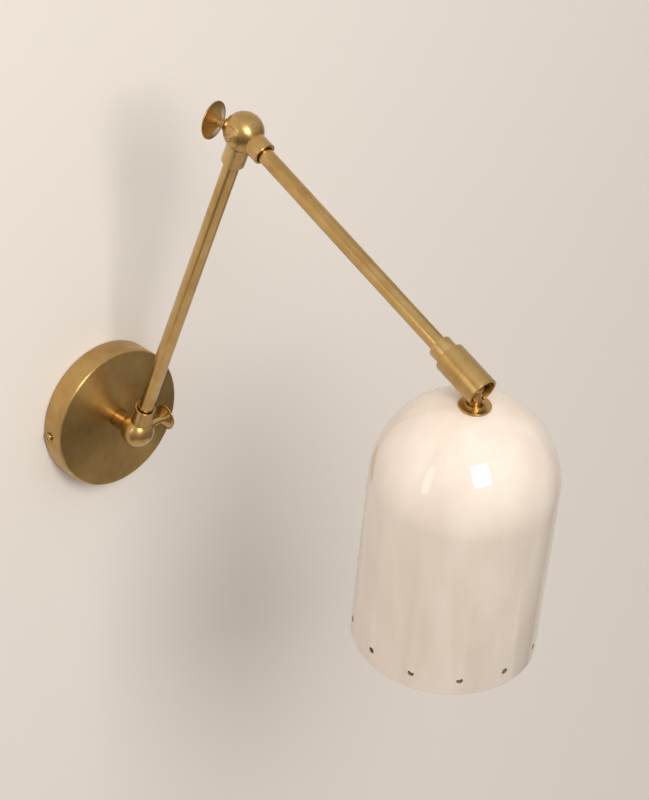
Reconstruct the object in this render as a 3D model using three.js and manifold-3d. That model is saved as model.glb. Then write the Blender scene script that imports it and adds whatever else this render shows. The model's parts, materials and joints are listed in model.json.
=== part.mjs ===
// Swing arm wall sconce: a round wall canopy, two tube arms with clamped ball joints,
// a swivel cup and a tall domed shade. Millimetres, +Z up. The wall is the plane y = 0,
// the sconce stands out from it along -Y, and the origin is the middle of its wall face.

import * as THREE from 'three';
import { mergeVertices } from 'three/addons/utils/BufferGeometryUtils.js';
import Module from 'manifold-3d';

const wasm = await Module();
wasm.setup();

const degrees = Math.PI / 180;

// ---- Driving dimensions ---------------------------------------------------------------

const gap = 0.3;                    // between fixed pieces that meet
const running_gap = 0.4;            // between pieces that turn on each other

// Pose of the sconce as it is stored
const lower_rise = 66.9 * degrees;  // lower arm above level
const upper_drop = 23.2 * degrees;  // upper arm below level
const cup_turn = 1.1 * degrees;     // swivel cup about the upper arm
const shade_tilt = 75.1 * degrees;  // shade axis away from the cup's axis

// How far each hinge may turn from that pose
const wall_hinge_range = [-23 * degrees, 67 * degrees];
const elbow_range = [-15 * degrees, 18 * degrees];

// Canopy and the plate behind it
const canopy_radius = 60;
const canopy_depth = 21.5;
const canopy_wall = 1.5;
const canopy_edge_radius = 2.2;
const plate_thickness = 2;
const plate_clearance = 1.6;
const tab_width = 16;
const tab_height = 13;
const tab_thickness = 2;
const box_screw_spacing = 88.9;     // screws of a standard round ceiling or wall box
const box_slot_width = 4.6;
const box_slot_length = 12;
const wire_hole_radius = 11;
const wire_hole_height = 24;
const side_screw_radius = 1.9;
const side_screw_head_radius = 3.8;
const side_screw_head_height = 1.9;
const side_screw_depth = 6.5;       // from the wall
const side_screw_length = 9;
const screw_slot_width = 0.9;
const screw_slot_depth = 0.7;
const ground_screw_radius = 2;
const ground_screw_head_radius = 4.2;
const ground_screw_place = [-24, -20];

// Stem that turns in the canopy
const stem_radius = 7.8;
const stem_shaft_radius = 5.2;
const stem_bore_radius = 2.2;
const bush_wall = 1.8;
const bush_flange_radius = 13;
const bush_flange_thickness = 2;
const washer_thickness = 1.2;
const washer_radius = 9.5;
const stem_nut_across = 17;
const stem_nut_thickness = 5;
const stem_thread_beyond_nut = 1.5;

// Ball joints
const wall_pivot_distance = 45.5;   // ball centre from the wall
const wall_ball_radius = 13.75;
const wall_core_radius = 7.6;
const elbow_ball_radius = 15.5;
const elbow_core_radius = 8.4;
const blind_wall = 4.6;             // ball left standing at the closed end of its bore
const spigot_radius = 3.2;
const pivot_screw_radius = 1.6;
const pivot_screw_head_radius = 2.9;
const pivot_screw_recess = 1.6;
const pivot_screw_length = 8;

// Arms
const lower_arm_length = 350;       // wall ball centre to elbow ball centre
const upper_arm_length = 279;       // elbow ball centre to the swivel cup's mouth
const tube_radius = 6.35;
const tube_wall = 1;
const lower_socket_radius = 8.2;
const lower_socket_end = 28.5;      // from the wall ball's centre
const saddle_radius = 9.25;
const saddle_end = 32.2;            // from the elbow ball's centre
const upper_socket_radius = 9.2;
const upper_socket_end = 25.5;      // from the elbow ball's centre
const socket_depth = 9;             // how far a tube goes into its socket
const lip_depth = 2.2;
const lip_clearance = 0.9;
const wire_radius = 2.4;

// Thumb knobs
const elbow_knob_radius = 15.1;
const elbow_knob_reach = 27.9;      // ball centre to the knob's face
const elbow_knob_neck = 3.6;
const elbow_knob_angle = 160.8 * degrees;  // from the upper arm, round past the lower arm
const elbow_knob_lean = 14.1 * degrees;    // sideways, towards the pivot screw
const wall_knob_radius = 10.5;
const wall_knob_reach = 30;
const wall_knob_neck = 3;
const knob_shaft_radius = 2.3;
const knob_rim = 1;
const knob_cone = 5.2;

// Swivel cup at the end of the upper arm
const end_collar_radius = 9.2;
const end_collar_length = 10.6;
const cup_radius = 12.2;
const cup_wall = 1.8;
const cup_length = 38.3;
const cup_floor = 4;
const cup_edge_radius = 1.5;
const nipple_clearance = 0.6;         // between the nipple and the tube it sits in
const nipple_radius = tube_radius - tube_wall - nipple_clearance;
const nipple_bore = 3.2;
const nipple_in_tube = 12;
const nipple_nut_across = 15;
const nipple_nut_thickness = 4;
const tilt_pivot_inset = 6.2;       // pivot behind the cup's mouth
const tilt_pin_radius = 1.5;
const tilt_pin_end_wall = 0.9;

// Shade and what hangs it
const shade_seat = 17.5;            // tilt pivot to the top of the shade
const shade_radius = 70;
const shade_height = 215;
const shade_wall = 3.5;
const shade_flat_radius = 14;
const rim_bead = 0.9;
const vent_count = 12;
const vent_radius = 2.5;
const vent_height = 14.2;           // above the rim
const vent_phase = 4.4 * degrees;
const stud_eye_radius = 5;
const stud_top_radius = 3.4;
const stud_radius = 4.3;
const stud_bore = 2;
const flange_radius = 12.2;
const flange_thickness = 1.6;
const flange_step_radius = 7.6;
const flange_step_height = 1.8;
const shade_nut_across = 17;
const shade_nut_thickness = 4.5;

// Lampholder for a standard 26 mm screw lamp
const holder_cap_radius = 19.5;
const holder_cap_height = 12;
const holder_radius = 19;
const holder_length = 40;
const holder_floor = 7;
const shell_radius = 13.7;          // inside, clear of the lamp's cap
const shell_wall = 0.6;
const shell_length = 26;
const contact_radius = 4.5;
const contact_height = 2.4;

// ---- Worked-out sizes -----------------------------------------------------------------

const canopy_inner_radius = canopy_radius - canopy_wall;
const plate_radius = canopy_inner_radius - plate_clearance;
const side_screw_seat = canopy_radius + gap;
const bush_outer_radius = stem_shaft_radius + running_gap + bush_wall;
const tube_bore = tube_radius - tube_wall;
const wall_ball_bore = wall_core_radius + running_gap;
const elbow_ball_bore = elbow_core_radius + running_gap;
const pivot_screw_seat = elbow_ball_radius - pivot_screw_recess + gap;
const elbow_knob_start = (elbow_core_radius + gap + knob_shaft_radius * Math.sin(elbow_knob_lean))
  / Math.cos(elbow_knob_lean);
const pivot_screw_tip = pivot_screw_length - pivot_screw_seat + gap;
const cup_start = upper_arm_length - cup_length;
const collar_start = cup_start - running_gap - end_collar_length;
const tilt_pivot = upper_arm_length - tilt_pivot_inset;
const cup_bore = cup_radius - cup_wall;

// ---- Shapes and solids ----------------------------------------------------------------

const X = new THREE.Vector3(1, 0, 0);
const Y = new THREE.Vector3(0, 1, 0);
const Z = new THREE.Vector3(0, 0, 1);

// Points of a round stretch of an outline, from one angle to another.
function arc(centre_x, centre_y, radius, from, to, steps) {
  const points = [];
  for (let step = 0; step <= steps; step += 1) {
    const angle = from + (to - from) * step / steps;
    points.push([centre_x + radius * Math.cos(angle), centre_y + radius * Math.sin(angle)]);
  }
  return points;
}

// A closed three.js geometry as a solid that can be joined and cut.
function solid(geometry) {
  geometry.deleteAttribute('normal');
  geometry.deleteAttribute('uv');
  const merged = mergeVertices(geometry, 1e-3);
  const corners = merged.index.array;
  const faces = [];
  for (let i = 0; i < corners.length; i += 3) {
    const [a, b, c] = [corners[i], corners[i + 1], corners[i + 2]];
    if (a !== b && b !== c && c !== a) faces.push(a, b, c);
  }
  return new wasm.Manifold(new wasm.Mesh({
    numProp: 3,
    vertProperties: merged.attributes.position.array,
    triVerts: Uint32Array.from(faces),
  }));
}

// Swings a geometry that was made round +Y so that it runs along a direction.
function along(direction, geometry) {
  return geometry.applyQuaternion(new THREE.Quaternion().setFromUnitVectors(Y, direction));
}

// A body of revolution round a direction, from an anticlockwise outline of [radius, height].
function turned(outline, sides = 24, direction = Y) {
  const points = outline.map(([radius, height]) => new THREE.Vector2(radius, height));
  if (outline[0][0] > 0) points.push(points[0].clone());
  return solid(along(direction, new THREE.LatheGeometry(points, sides)));
}

function rod(radius, from, to, direction = Y, sides = 20) {
  const geometry = new THREE.CylinderGeometry(radius, radius, to - from, sides);
  return solid(along(direction, geometry.translate(0, (from + to) / 2, 0)));
}

function tube(outer, inner, from, to, sides = 20) {
  return rod(outer, from, to, Y, sides).subtract(rod(inner, from - 1, to + 1, Y, sides));
}

function ball(radius, x, y, z, columns = 24) {
  const geometry = new THREE.SphereGeometry(radius, columns, columns / 2);
  return solid(geometry.rotateZ(-Math.PI / 2).translate(x, y, z));
}

function block(low, high) {
  const size = high.map((value, i) => value - low[i]);
  const geometry = new THREE.BoxGeometry(...size);
  return solid(geometry.translate(...low.map((value, i) => value + size[i] / 2)));
}

function hexagon(across, from, to, bore) {
  const corner_radius = across / 2 / Math.cos(Math.PI / 6);
  return rod(corner_radius, from, to, Y, 6).subtract(rod(bore, from - 1, to + 1));
}

// A wedge round X, between two angles that run from +Y towards +Z.
function wedge(width, radius, from, to) {
  const steps = 8;
  const shape = new THREE.Shape();
  shape.moveTo(0, 0);
  for (const [y, z] of arc(0, 0, radius, from, to, steps)) shape.lineTo(y, z);
  shape.closePath();
  const geometry = new THREE.ExtrudeGeometry(shape, { depth: width, bevelEnabled: false });
  geometry.translate(0, 0, -width / 2);
  return solid(geometry.applyMatrix4(new THREE.Matrix4().makeBasis(Y, Z, X)));
}

// A slot with round ends, in a ball, for a spigot that swings between two angles round X.
function swing_slot(spigot, ball_radius, from, to) {
  const half_width = spigot + running_gap;
  const reach = ball_radius * 1.5;
  let slot = wedge(2 * half_width, reach, from, to);
  for (const angle of [from, to]) {
    const direction = new THREE.Vector3(0, Math.cos(angle), Math.sin(angle));
    slot = slot.add(rod(half_width, 0, reach, direction));
  }
  return slot;
}

const finishes = {
  brass: [0xa8874f, 0.32, 1],
  zinc: [0xb9bcbc, 0.5, 1],
  glaze: [0xe9dfd0, 0.25, 0],
  porcelain: [0xf1eee6, 0.3, 0],
  ground_green: [0x2f7d4a, 0.45, 0.6],
  cable: [0xe6e0d2, 0.6, 0],
};

function piece(name, finish, shape) {
  const { vertProperties, triVerts } = shape.getMesh();
  const geometry = new THREE.BufferGeometry();
  geometry.setAttribute('position', new THREE.BufferAttribute(vertProperties, 3));
  geometry.setIndex(new THREE.BufferAttribute(triVerts, 1));
  const [color, roughness, metalness] = finishes[finish];
  const mesh = new THREE.Mesh(geometry, new THREE.MeshStandardMaterial({ color, roughness, metalness }));
  mesh.name = name;
  return mesh;
}

// ---- Wall mount: drawn with +Y to the wall ---------------------------------------------

function wall_plate() {
  let plate = rod(plate_radius, -plate_thickness, 0, Y, 48);
  for (const side of [-1, 1]) {
    const ends = [side * (plate_radius - 0.6), side * (plate_radius - 0.6 - tab_thickness)];
    plate = plate.add(block(
      [Math.min(...ends), -tab_height, -tab_width / 2],
      [Math.max(...ends), -plate_thickness / 2, tab_width / 2],
    ));
    const half_slot = (box_slot_length - box_slot_width) / 2;
    const height = side * box_screw_spacing / 2;
    plate = plate.subtract(block(
      [-half_slot, -plate_thickness - 1, height - box_slot_width / 2],
      [half_slot, 1, height + box_slot_width / 2],
    ));
    for (const end of [-half_slot, half_slot]) {
      const slot_end = new THREE.CylinderGeometry(box_slot_width / 2, box_slot_width / 2, 10, 24);
      plate = plate.subtract(solid(slot_end.translate(end, 0, height)));
    }
  }
  const wire_hole = new THREE.CylinderGeometry(wire_hole_radius, wire_hole_radius, 10, 40);
  const ground_hole_radius = ground_screw_radius + gap;
  const ground_hole = new THREE.CylinderGeometry(ground_hole_radius, ground_hole_radius, 10, 24);
  const [ground_x, ground_z] = ground_screw_place;
  const side_hole = new THREE.CylinderGeometry(
    side_screw_radius + gap, side_screw_radius + gap, 3 * canopy_radius, 24);
  side_hole.rotateZ(Math.PI / 2).translate(0, -side_screw_depth, 0);
  return plate
    .subtract(solid(wire_hole.translate(0, 0, wire_hole_height)))
    .subtract(solid(ground_hole.translate(ground_x, 0, ground_z)))
    .subtract(solid(side_hole));
}

function canopy() {
  const inner_edge = Math.max(canopy_edge_radius - canopy_wall, 0.3);
  const hole = bush_outer_radius + gap;
  const front = canopy_depth;
  const outline = [
    [canopy_radius, gap],
    ...arc(canopy_radius - canopy_edge_radius, front - canopy_edge_radius,
      canopy_edge_radius, 0, Math.PI / 2, 3),
    [hole, front],
    [hole, front - canopy_wall],
    ...arc(canopy_inner_radius - inner_edge, front - canopy_wall - inner_edge,
      inner_edge, Math.PI / 2, 0, 2),
    [canopy_inner_radius, gap],
  ];
  const screw_hole = new THREE.CylinderGeometry(
    side_screw_radius + gap, side_screw_radius + gap, 3 * canopy_radius, 24);
  screw_hole.rotateZ(Math.PI / 2).translate(0, -side_screw_depth, 0);
  return turned(outline, 48, Y.clone().negate()).subtract(solid(screw_hole));
}

// The flanged bearing in the canopy that the stem's shaft turns in.
function stem_bush() {
  const front = canopy_depth;
  const back = front - canopy_wall - gap;
  const bore = stem_shaft_radius + running_gap;
  const outline = [
    [bore, back - bush_flange_thickness],
    [bush_flange_radius, back - bush_flange_thickness],
    [bush_flange_radius, back],
    [bush_outer_radius, back],
    [bush_outer_radius, front],
    [bore, front],
  ];
  return turned(outline, 24, Y.clone().negate());
}

// A slotted pan head screw along +Y, with its seat at height 0.
function pan_screw(radius, head_radius, head_height, length) {
  const round = head_height * 0.6;
  const outline = [
    [0, -length],
    [radius, -length],
    [radius, 0],
    [head_radius, 0],
    ...arc(head_radius - round, head_height - round, round, 0, Math.PI / 2, 2),
    [0, head_height],
  ];
  return turned(outline, 16).subtract(block(
    [-screw_slot_width / 2, head_height - screw_slot_depth, -head_radius],
    [screw_slot_width / 2, head_height + 1, head_radius],
  ));
}

const wall_mount = new THREE.Group();
wall_mount.add(piece('wall_plate', 'zinc', wall_plate()));
wall_mount.add(piece('canopy', 'brass', canopy()));
wall_mount.add(piece('stem_bush', 'brass', stem_bush()));
for (const [name, side] of [['canopy_screw_left', -1], ['canopy_screw_right', 1]]) {
  const screw = piece(name, 'brass', pan_screw(
    side_screw_radius, side_screw_head_radius, side_screw_head_height, side_screw_length));
  screw.rotation.z = -side * Math.PI / 2;
  screw.position.set(side * side_screw_seat, -side_screw_depth, 0);
  wall_mount.add(screw);
}
const ground_screw = piece('ground_screw', 'ground_green', pan_screw(
  ground_screw_radius, ground_screw_head_radius, side_screw_head_height, plate_thickness));
ground_screw.rotation.x = Math.PI;
ground_screw.position.set(ground_screw_place[0], -plate_thickness - gap, ground_screw_place[1]);
wall_mount.add(ground_screw);

// ---- Stem: drawn with +Y from the wall ball back towards the wall ----------------------

const stem_front = wall_pivot_distance - canopy_depth;   // canopy's face from the ball
const bush_back = stem_front + canopy_wall + gap + bush_flange_thickness;
const washer_start = bush_back + gap;
const nut_start = washer_start + washer_thickness + gap;
const stem_end = nut_start + stem_nut_thickness + stem_thread_beyond_nut;

function stem() {
  const spigot_start = wall_core_radius - 4;
  return rod(stem_radius, 2, stem_front - gap)
    .subtract(ball(wall_ball_radius + running_gap, 0, 0, 0))
    .add(rod(spigot_radius, spigot_start, wall_ball_radius + 4))
    .add(rod(stem_shaft_radius, wall_ball_radius + 3, stem_end))
    .subtract(rod(stem_bore_radius, 0, stem_end + 1));
}

// The drum in the wall ball: it stays with the stem, and the ball turns round it.
function wall_core() {
  const rest_angle = lower_rise - Math.PI;       // of the arm, seen from the wall
  const window_from = -rest_angle + wall_hinge_range[0] - 20 * degrees;
  const window_to = -rest_angle + wall_hinge_range[1] + 20 * degrees;
  const half_length = wall_ball_radius - blind_wall - running_gap;
  return rod(wall_core_radius, -half_length, half_length - 1, X)
    .subtract(wedge(2 * stem_bore_radius, 2 * wall_core_radius, window_from, window_to))
    .subtract(rod(spigot_radius + gap, 0, 2 * wall_core_radius))
    .subtract(rod(knob_shaft_radius + gap, half_length - 3, half_length + 1, X));
}

const stem_group = new THREE.Group();
stem_group.position.y = -wall_pivot_distance;
stem_group.add(piece('stem', 'brass', stem()));
stem_group.add(piece('wall_core', 'brass', wall_core()));
stem_group.add(piece('stem_washer', 'zinc', tube(
  washer_radius, stem_shaft_radius + gap, washer_start, washer_start + washer_thickness)));
stem_group.add(piece('stem_nut', 'zinc', hexagon(
  stem_nut_across, nut_start, nut_start + stem_nut_thickness, stem_shaft_radius + gap)));

// ---- Thumb knobs: +Y out of the ball, height 0 at the ball's centre --------------------

function thumb_knob(radius, reach, neck, ball_radius, shaft_start) {
  const seat = ball_radius + gap;
  const step = neck * 1.35;
  const rim_low = reach - knob_rim;
  const cone_low = rim_low - knob_cone;
  const outline = [
    [0, shaft_start],
    [knob_shaft_radius, shaft_start],
    [knob_shaft_radius, seat],
    [step, seat],
    [step, seat + 1.2],
    [neck, seat + 2],
    [neck, cone_low],
  ];
  // The back of the knob flares from the neck to the rim like a trumpet.
  for (const share of [1 / 3, 2 / 3, 1]) {
    outline.push([neck + (radius - neck) * share, cone_low + knob_cone * (1 - (1 - share) ** 1.6)]);
  }
  outline.push([radius, reach - knob_rim / 3], [radius - knob_rim, reach], [0, reach + 0.4]);
  return turned(outline, 24);
}

// ---- Lower arm: drawn with +Y along the arm, height 0 at the wall ball -----------------

const wall_plug_start = wall_ball_radius - blind_wall;

function wall_ball() {
  const stem_angle = lower_rise - Math.PI;
  const slot = swing_slot(spigot_radius, wall_ball_radius,
    stem_angle - wall_hinge_range[1], stem_angle - wall_hinge_range[0]);
  return ball(wall_ball_radius, 0, 0, 0)
    .subtract(rod(wall_ball_bore, -wall_plug_start, wall_ball_radius + 1, X))
    .subtract(slot)
    .subtract(rod(spigot_radius + gap, 0, wall_ball_radius + 1));
}

// The domed plug that closes the ball's bore, with the clamping knob through it.
function wall_ball_plug() {
  return rod(wall_ball_bore - gap, wall_plug_start - 1, wall_ball_radius + 1, X)
    .intersect(ball(wall_ball_radius, 0, 0, 0))
    .subtract(rod(knob_shaft_radius + gap, 0, wall_ball_radius + 1, X));
}

// A tube socket with a bright lip, whose foot is hollowed to sit on a ball.
function lower_socket() {
  const tube_seat = lower_socket_end - socket_depth;
  return rod(lower_socket_radius, 4, lower_socket_end)
    .subtract(ball(wall_ball_radius + gap, 0, 0, 0))
    .add(rod(spigot_radius, wall_ball_bore + gap, tube_seat - 1))
    .subtract(rod(tube_radius + gap, tube_seat, lower_socket_end + 1))
    .subtract(rod(tube_radius + lip_clearance, lower_socket_end - lip_depth, lower_socket_end + 1))
    .subtract(rod(stem_bore_radius, 0, lower_socket_end));
}

const saddle_tube_seat = saddle_end - socket_depth;      // from the elbow ball's centre

// The collar that rides on the elbow ball and carries its core on a spigot.
function elbow_saddle() {
  const foot = lower_arm_length - saddle_end;
  const round = 0.7;
  const outline = [
    [0, foot],
    ...arc(saddle_radius - round, foot + round, round, -Math.PI / 2, 0, 3),
    [saddle_radius, lower_arm_length - 4],
    [0, lower_arm_length - 4],
  ];
  return turned(outline, 28)
    .subtract(ball(elbow_ball_radius + running_gap, 0, lower_arm_length, 0))
    .add(rod(spigot_radius, lower_arm_length - elbow_ball_radius - 4,
      lower_arm_length - elbow_core_radius + 4))
    .subtract(rod(tube_radius + gap, foot - 1, lower_arm_length - saddle_tube_seat))
    .subtract(rod(stem_bore_radius, foot, lower_arm_length));
}

// The upper arm's direction in the lower arm's frame, as an angle round X from +Y.
const elbow_angle = lower_rise + upper_drop;

function elbow_core() {
  const half_length = elbow_ball_radius - blind_wall - running_gap;
  const window_from = elbow_angle + elbow_range[0] - 20 * degrees;
  const window_to = elbow_angle + elbow_range[1] + 20 * degrees;
  return rod(elbow_core_radius, -half_length + 1, half_length, X)
    .subtract(wedge(2 * stem_bore_radius, 2 * elbow_core_radius, window_from, window_to))
    .subtract(rod(spigot_radius + gap, -2 * elbow_core_radius, 0))
    .subtract(rod(pivot_screw_radius + running_gap, -elbow_ball_radius, pivot_screw_tip, X));
}

const lower_arm = new THREE.Group();
lower_arm.position.y = -wall_pivot_distance;
lower_arm.rotation.x = Math.PI - lower_rise;
lower_arm.add(piece('wall_ball', 'brass', wall_ball()));
lower_arm.add(piece('wall_ball_plug', 'brass', wall_ball_plug()));
lower_arm.add(piece('lower_socket', 'brass', lower_socket()));
const lower_tube_start = lower_socket_end - socket_depth + gap;
const lower_tube_end = lower_arm_length - saddle_tube_seat - gap;
lower_arm.add(piece('lower_tube', 'brass', tube(
  tube_radius, tube_bore, lower_tube_start, lower_tube_end, 24)));
lower_arm.add(piece('lower_wire', 'cable', rod(
  wire_radius, lower_tube_start + 1, lower_tube_end - 1, Y, 12)));
lower_arm.add(piece('elbow_saddle', 'brass', elbow_saddle()));
const elbow_core_mesh = piece('elbow_core', 'brass', elbow_core());
elbow_core_mesh.position.y = lower_arm_length;
lower_arm.add(elbow_core_mesh);

const wall_knob = piece('wall_knob', 'brass', thumb_knob(
  wall_knob_radius, wall_knob_reach, wall_knob_neck, wall_ball_radius,
  wall_ball_radius - blind_wall - running_gap - 0.5));
wall_knob.rotation.z = -Math.PI / 2;
lower_arm.add(wall_knob);

// ---- Upper arm: drawn with +Y along the arm, height 0 at the elbow ball ----------------

const saddle_angle = Math.PI - elbow_angle;              // lower arm's direction round X
const knob_direction = new THREE.Vector3(
  -Math.sin(elbow_knob_lean),
  Math.cos(elbow_knob_lean) * Math.cos(elbow_knob_angle),
  Math.cos(elbow_knob_lean) * Math.sin(elbow_knob_angle),
);
const elbow_plug_start = elbow_ball_radius - blind_wall;

function elbow_ball() {
  const tube_seat = upper_socket_end - socket_depth;
  const slot = swing_slot(spigot_radius, elbow_ball_radius,
    saddle_angle - elbow_range[1], saddle_angle - elbow_range[0]);
  return ball(elbow_ball_radius, 0, 0, 0)
    .add(rod(upper_socket_radius, 6, upper_socket_end, Y, 28))
    .subtract(rod(elbow_ball_bore, -elbow_ball_radius - 1, elbow_plug_start, X))
    .subtract(slot)
    .subtract(rod(stem_bore_radius, 0, upper_socket_end))
    .subtract(rod(knob_shaft_radius + gap, 0, elbow_ball_radius + 1, knob_direction))
    .subtract(rod(tube_radius + gap, tube_seat, upper_socket_end + 1))
    .subtract(rod(tube_radius + lip_clearance, upper_socket_end - lip_depth, upper_socket_end + 1));
}

function elbow_cap() {
  const head_seat = elbow_ball_radius - pivot_screw_recess;
  const outward = X.clone().negate();
  return rod(elbow_ball_bore - gap, elbow_plug_start - 1, elbow_ball_radius + 1, outward)
    .intersect(ball(elbow_ball_radius, 0, 0, 0))
    .subtract(rod(pivot_screw_radius + gap, 0, elbow_ball_radius + 1, outward))
    .subtract(rod(pivot_screw_head_radius + gap, head_seat, elbow_ball_radius + 1, outward));
}

// The hollow nipple that the swivel cup turns on.
function swivel_nipple() {
  const start = collar_start - 1;
  const end = cup_start + cup_floor + nipple_nut_thickness + 2.5;
  return tube(nipple_radius, nipple_bore, start - nipple_in_tube, end);
}

function end_collar() {
  const round = 1;
  const end = collar_start + end_collar_length;
  const tube_seat = end - 3;
  const outline = [
    [0, collar_start],
    ...arc(end_collar_radius - round, collar_start + round, round, -Math.PI / 2, 0, 3),
    ...arc(end_collar_radius - round / 2, end - round / 2, round / 2, 0, Math.PI / 2, 2),
    [0, end],
  ];
  return turned(outline, 24)
    .subtract(rod(tube_radius + gap, collar_start - 1, tube_seat))
    .subtract(rod(nipple_radius + gap, 0, end + 1));
}

const upper_arm = new THREE.Group();
upper_arm.position.y = lower_arm_length;
upper_arm.rotation.x = elbow_angle;
upper_arm.add(piece('elbow_ball', 'brass', elbow_ball()));
upper_arm.add(piece('elbow_cap', 'brass', elbow_cap()));
const pivot_screw = piece('pivot_screw', 'brass', pan_screw(
  pivot_screw_radius, pivot_screw_head_radius, pivot_screw_recess * 0.8, pivot_screw_length));
pivot_screw.rotation.z = Math.PI / 2;
pivot_screw.position.x = -pivot_screw_seat;
upper_arm.add(pivot_screw);
const upper_tube_start = upper_socket_end - socket_depth + gap;
const upper_tube_end = collar_start + end_collar_length - 3 - gap;
upper_arm.add(piece('upper_tube', 'brass', tube(
  tube_radius, tube_bore, upper_tube_start, upper_tube_end, 24)));
upper_arm.add(piece('upper_wire', 'cable', rod(
  wire_radius, upper_tube_start + 1, upper_tube_end - 1, Y, 12)));
upper_arm.add(piece('end_collar', 'brass', end_collar()));
upper_arm.add(piece('swivel_nipple', 'zinc', swivel_nipple()));
const nipple_nut_start = cup_start + cup_floor + running_gap;
upper_arm.add(piece('nipple_nut', 'zinc', hexagon(nipple_nut_across, nipple_nut_start,
  nipple_nut_start + nipple_nut_thickness, nipple_radius + gap)));
const elbow_knob = piece('elbow_knob', 'brass', thumb_knob(
  elbow_knob_radius, elbow_knob_reach, elbow_knob_neck, elbow_ball_radius, elbow_knob_start));
elbow_knob.quaternion.setFromUnitVectors(Y, knob_direction);
upper_arm.add(elbow_knob);
lower_arm.add(upper_arm);

// ---- Swivel cup ------------------------------------------------------------------------

const stud_slot_half = stud_radius + running_gap;

function swivel_cup() {
  const outline = [
    [0, cup_start],
    ...arc(cup_radius - cup_edge_radius, cup_start + cup_edge_radius,
      cup_edge_radius, -Math.PI / 2, 0, 4),
    [cup_radius, upper_arm_length - 0.4],
    [cup_radius - 0.4, upper_arm_length],
    [cup_bore, upper_arm_length],
    [cup_bore, cup_start + cup_floor],
    [0, cup_start + cup_floor],
  ];
  const slot_end = new THREE.CylinderGeometry(stud_slot_half, stud_slot_half, 2 * cup_radius, 32);
  slot_end.rotateX(Math.PI / 2).translate(0, tilt_pivot, cup_radius);
  const pin_hole_end = cup_radius - tilt_pin_end_wall;
  const pin_hole = new THREE.CylinderGeometry(
    tilt_pin_radius + gap, tilt_pin_radius + gap, 2 * pin_hole_end, 24);
  pin_hole.rotateZ(Math.PI / 2).translate(0, tilt_pivot, 0);
  return turned(outline, 28)
    .subtract(rod(nipple_radius + running_gap, 0, cup_start + cup_floor + 1))
    .subtract(block([-stud_slot_half, tilt_pivot, 0],
      [stud_slot_half, upper_arm_length + 1, 2 * cup_radius]))
    .subtract(solid(slot_end))
    .subtract(solid(pin_hole));
}

const cup = new THREE.Group();
cup.rotation.y = cup_turn;
cup.add(piece('swivel_cup', 'brass', swivel_cup()));
const tilt_pin_half = cup_radius - tilt_pin_end_wall - gap;
const tilt_pin = piece('tilt_pin', 'zinc', rod(tilt_pin_radius, -tilt_pin_half, tilt_pin_half, X, 20));
tilt_pin.position.y = tilt_pivot;
cup.add(tilt_pin);
upper_arm.add(cup);

// ---- Shade and lampholder: +Y down the shade's axis, height 0 at the tilt pivot ---------

const flange_top = shade_seat - gap - flange_thickness - flange_step_height;
const shade_nut_start = shade_seat + shade_wall + gap + washer_thickness + gap;
const holder_cap_start = shade_nut_start + shade_nut_thickness + gap;
const holder_start = holder_cap_start + holder_cap_height + gap;
const holder_end = holder_start + holder_length;
const stud_end = holder_cap_start + 6;

function shade_stud() {
  const outline = [
    [0, 1],
    [stud_top_radius, 1],
    [stud_top_radius, stud_eye_radius],
    [stud_radius, flange_top - 1],
    [stud_radius, stud_end],
    [0, stud_end],
  ];
  return turned(outline, 20)
    .add(ball(stud_eye_radius, 0, 0, 0, 16))
    .subtract(rod(tilt_pin_radius + running_gap, -10, 10, X, 20))
    .subtract(rod(stud_bore, stud_eye_radius / 2 + 1, stud_end + 1, Y, 16))
    .subtract(rod(stud_bore, -stud_eye_radius - 1, -tilt_pin_radius - 1, Y, 16));
}

function shade_flange() {
  const step_top = flange_top + flange_step_height;
  const bottom = shade_seat - gap;
  const bore = stud_radius + gap;
  const outline = [
    [bore, flange_top],
    [flange_step_radius - 0.5, flange_top],
    [flange_step_radius, flange_top + 0.5],
    [flange_step_radius, step_top],
    ...arc(flange_radius - 0.6, step_top + 0.6, 0.6, -Math.PI / 2, 0, 3),
    [flange_radius, bottom],
    [bore, bottom],
  ];
  return turned(outline, 24);
}

function shade() {
  const dome_centre = shade_seat + Math.sqrt(shade_radius ** 2 - shade_flat_radius ** 2);
  const rim = shade_seat + shade_height;
  const inner_radius = shade_radius - shade_wall;
  const bore = stud_radius + gap;
  const crown = Math.asin(shade_flat_radius / shade_radius);
  const inner_top = shade_seat + shade_wall;
  const inner_crown = Math.acos((dome_centre - inner_top) / inner_radius);
  const outline = [
    [bore, shade_seat],
    ...arc(0, dome_centre, shade_radius, crown - Math.PI / 2, 0, 8),
    [shade_radius, rim - rim_bead],
    [shade_radius - rim_bead / 3, rim],
    [inner_radius, rim],
    ...arc(0, dome_centre, inner_radius, 0, inner_crown - Math.PI / 2, 8),
    [bore, inner_top],
  ];
  let shell = turned(outline, 48);
  for (let vent = 0; vent < vent_count; vent += 1) {
    const angle = vent_phase + vent * 2 * Math.PI / vent_count;
    const drill = new THREE.CylinderGeometry(vent_radius, vent_radius, shade_radius, 10);
    drill.rotateX(Math.PI / 2).translate(0, rim - vent_height, shade_radius).rotateY(angle);
    shell = shell.subtract(solid(drill));
  }
  return shell;
}

function holder_cap() {
  const wall = 1.2;
  const end = holder_cap_start + holder_cap_height;
  const round = 6;
  const bore = stud_radius + gap;
  const outline = [
    [bore, holder_cap_start],
    ...arc(holder_cap_radius - round, holder_cap_start + round, round, -Math.PI / 2, 0, 3),
    [holder_cap_radius, end],
    [holder_cap_radius - wall, end],
    ...arc(holder_cap_radius - round, holder_cap_start + round, round - wall, 0, -Math.PI / 2, 3),
    [bore, holder_cap_start + wall],
  ];
  return turned(outline, 24);
}

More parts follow.
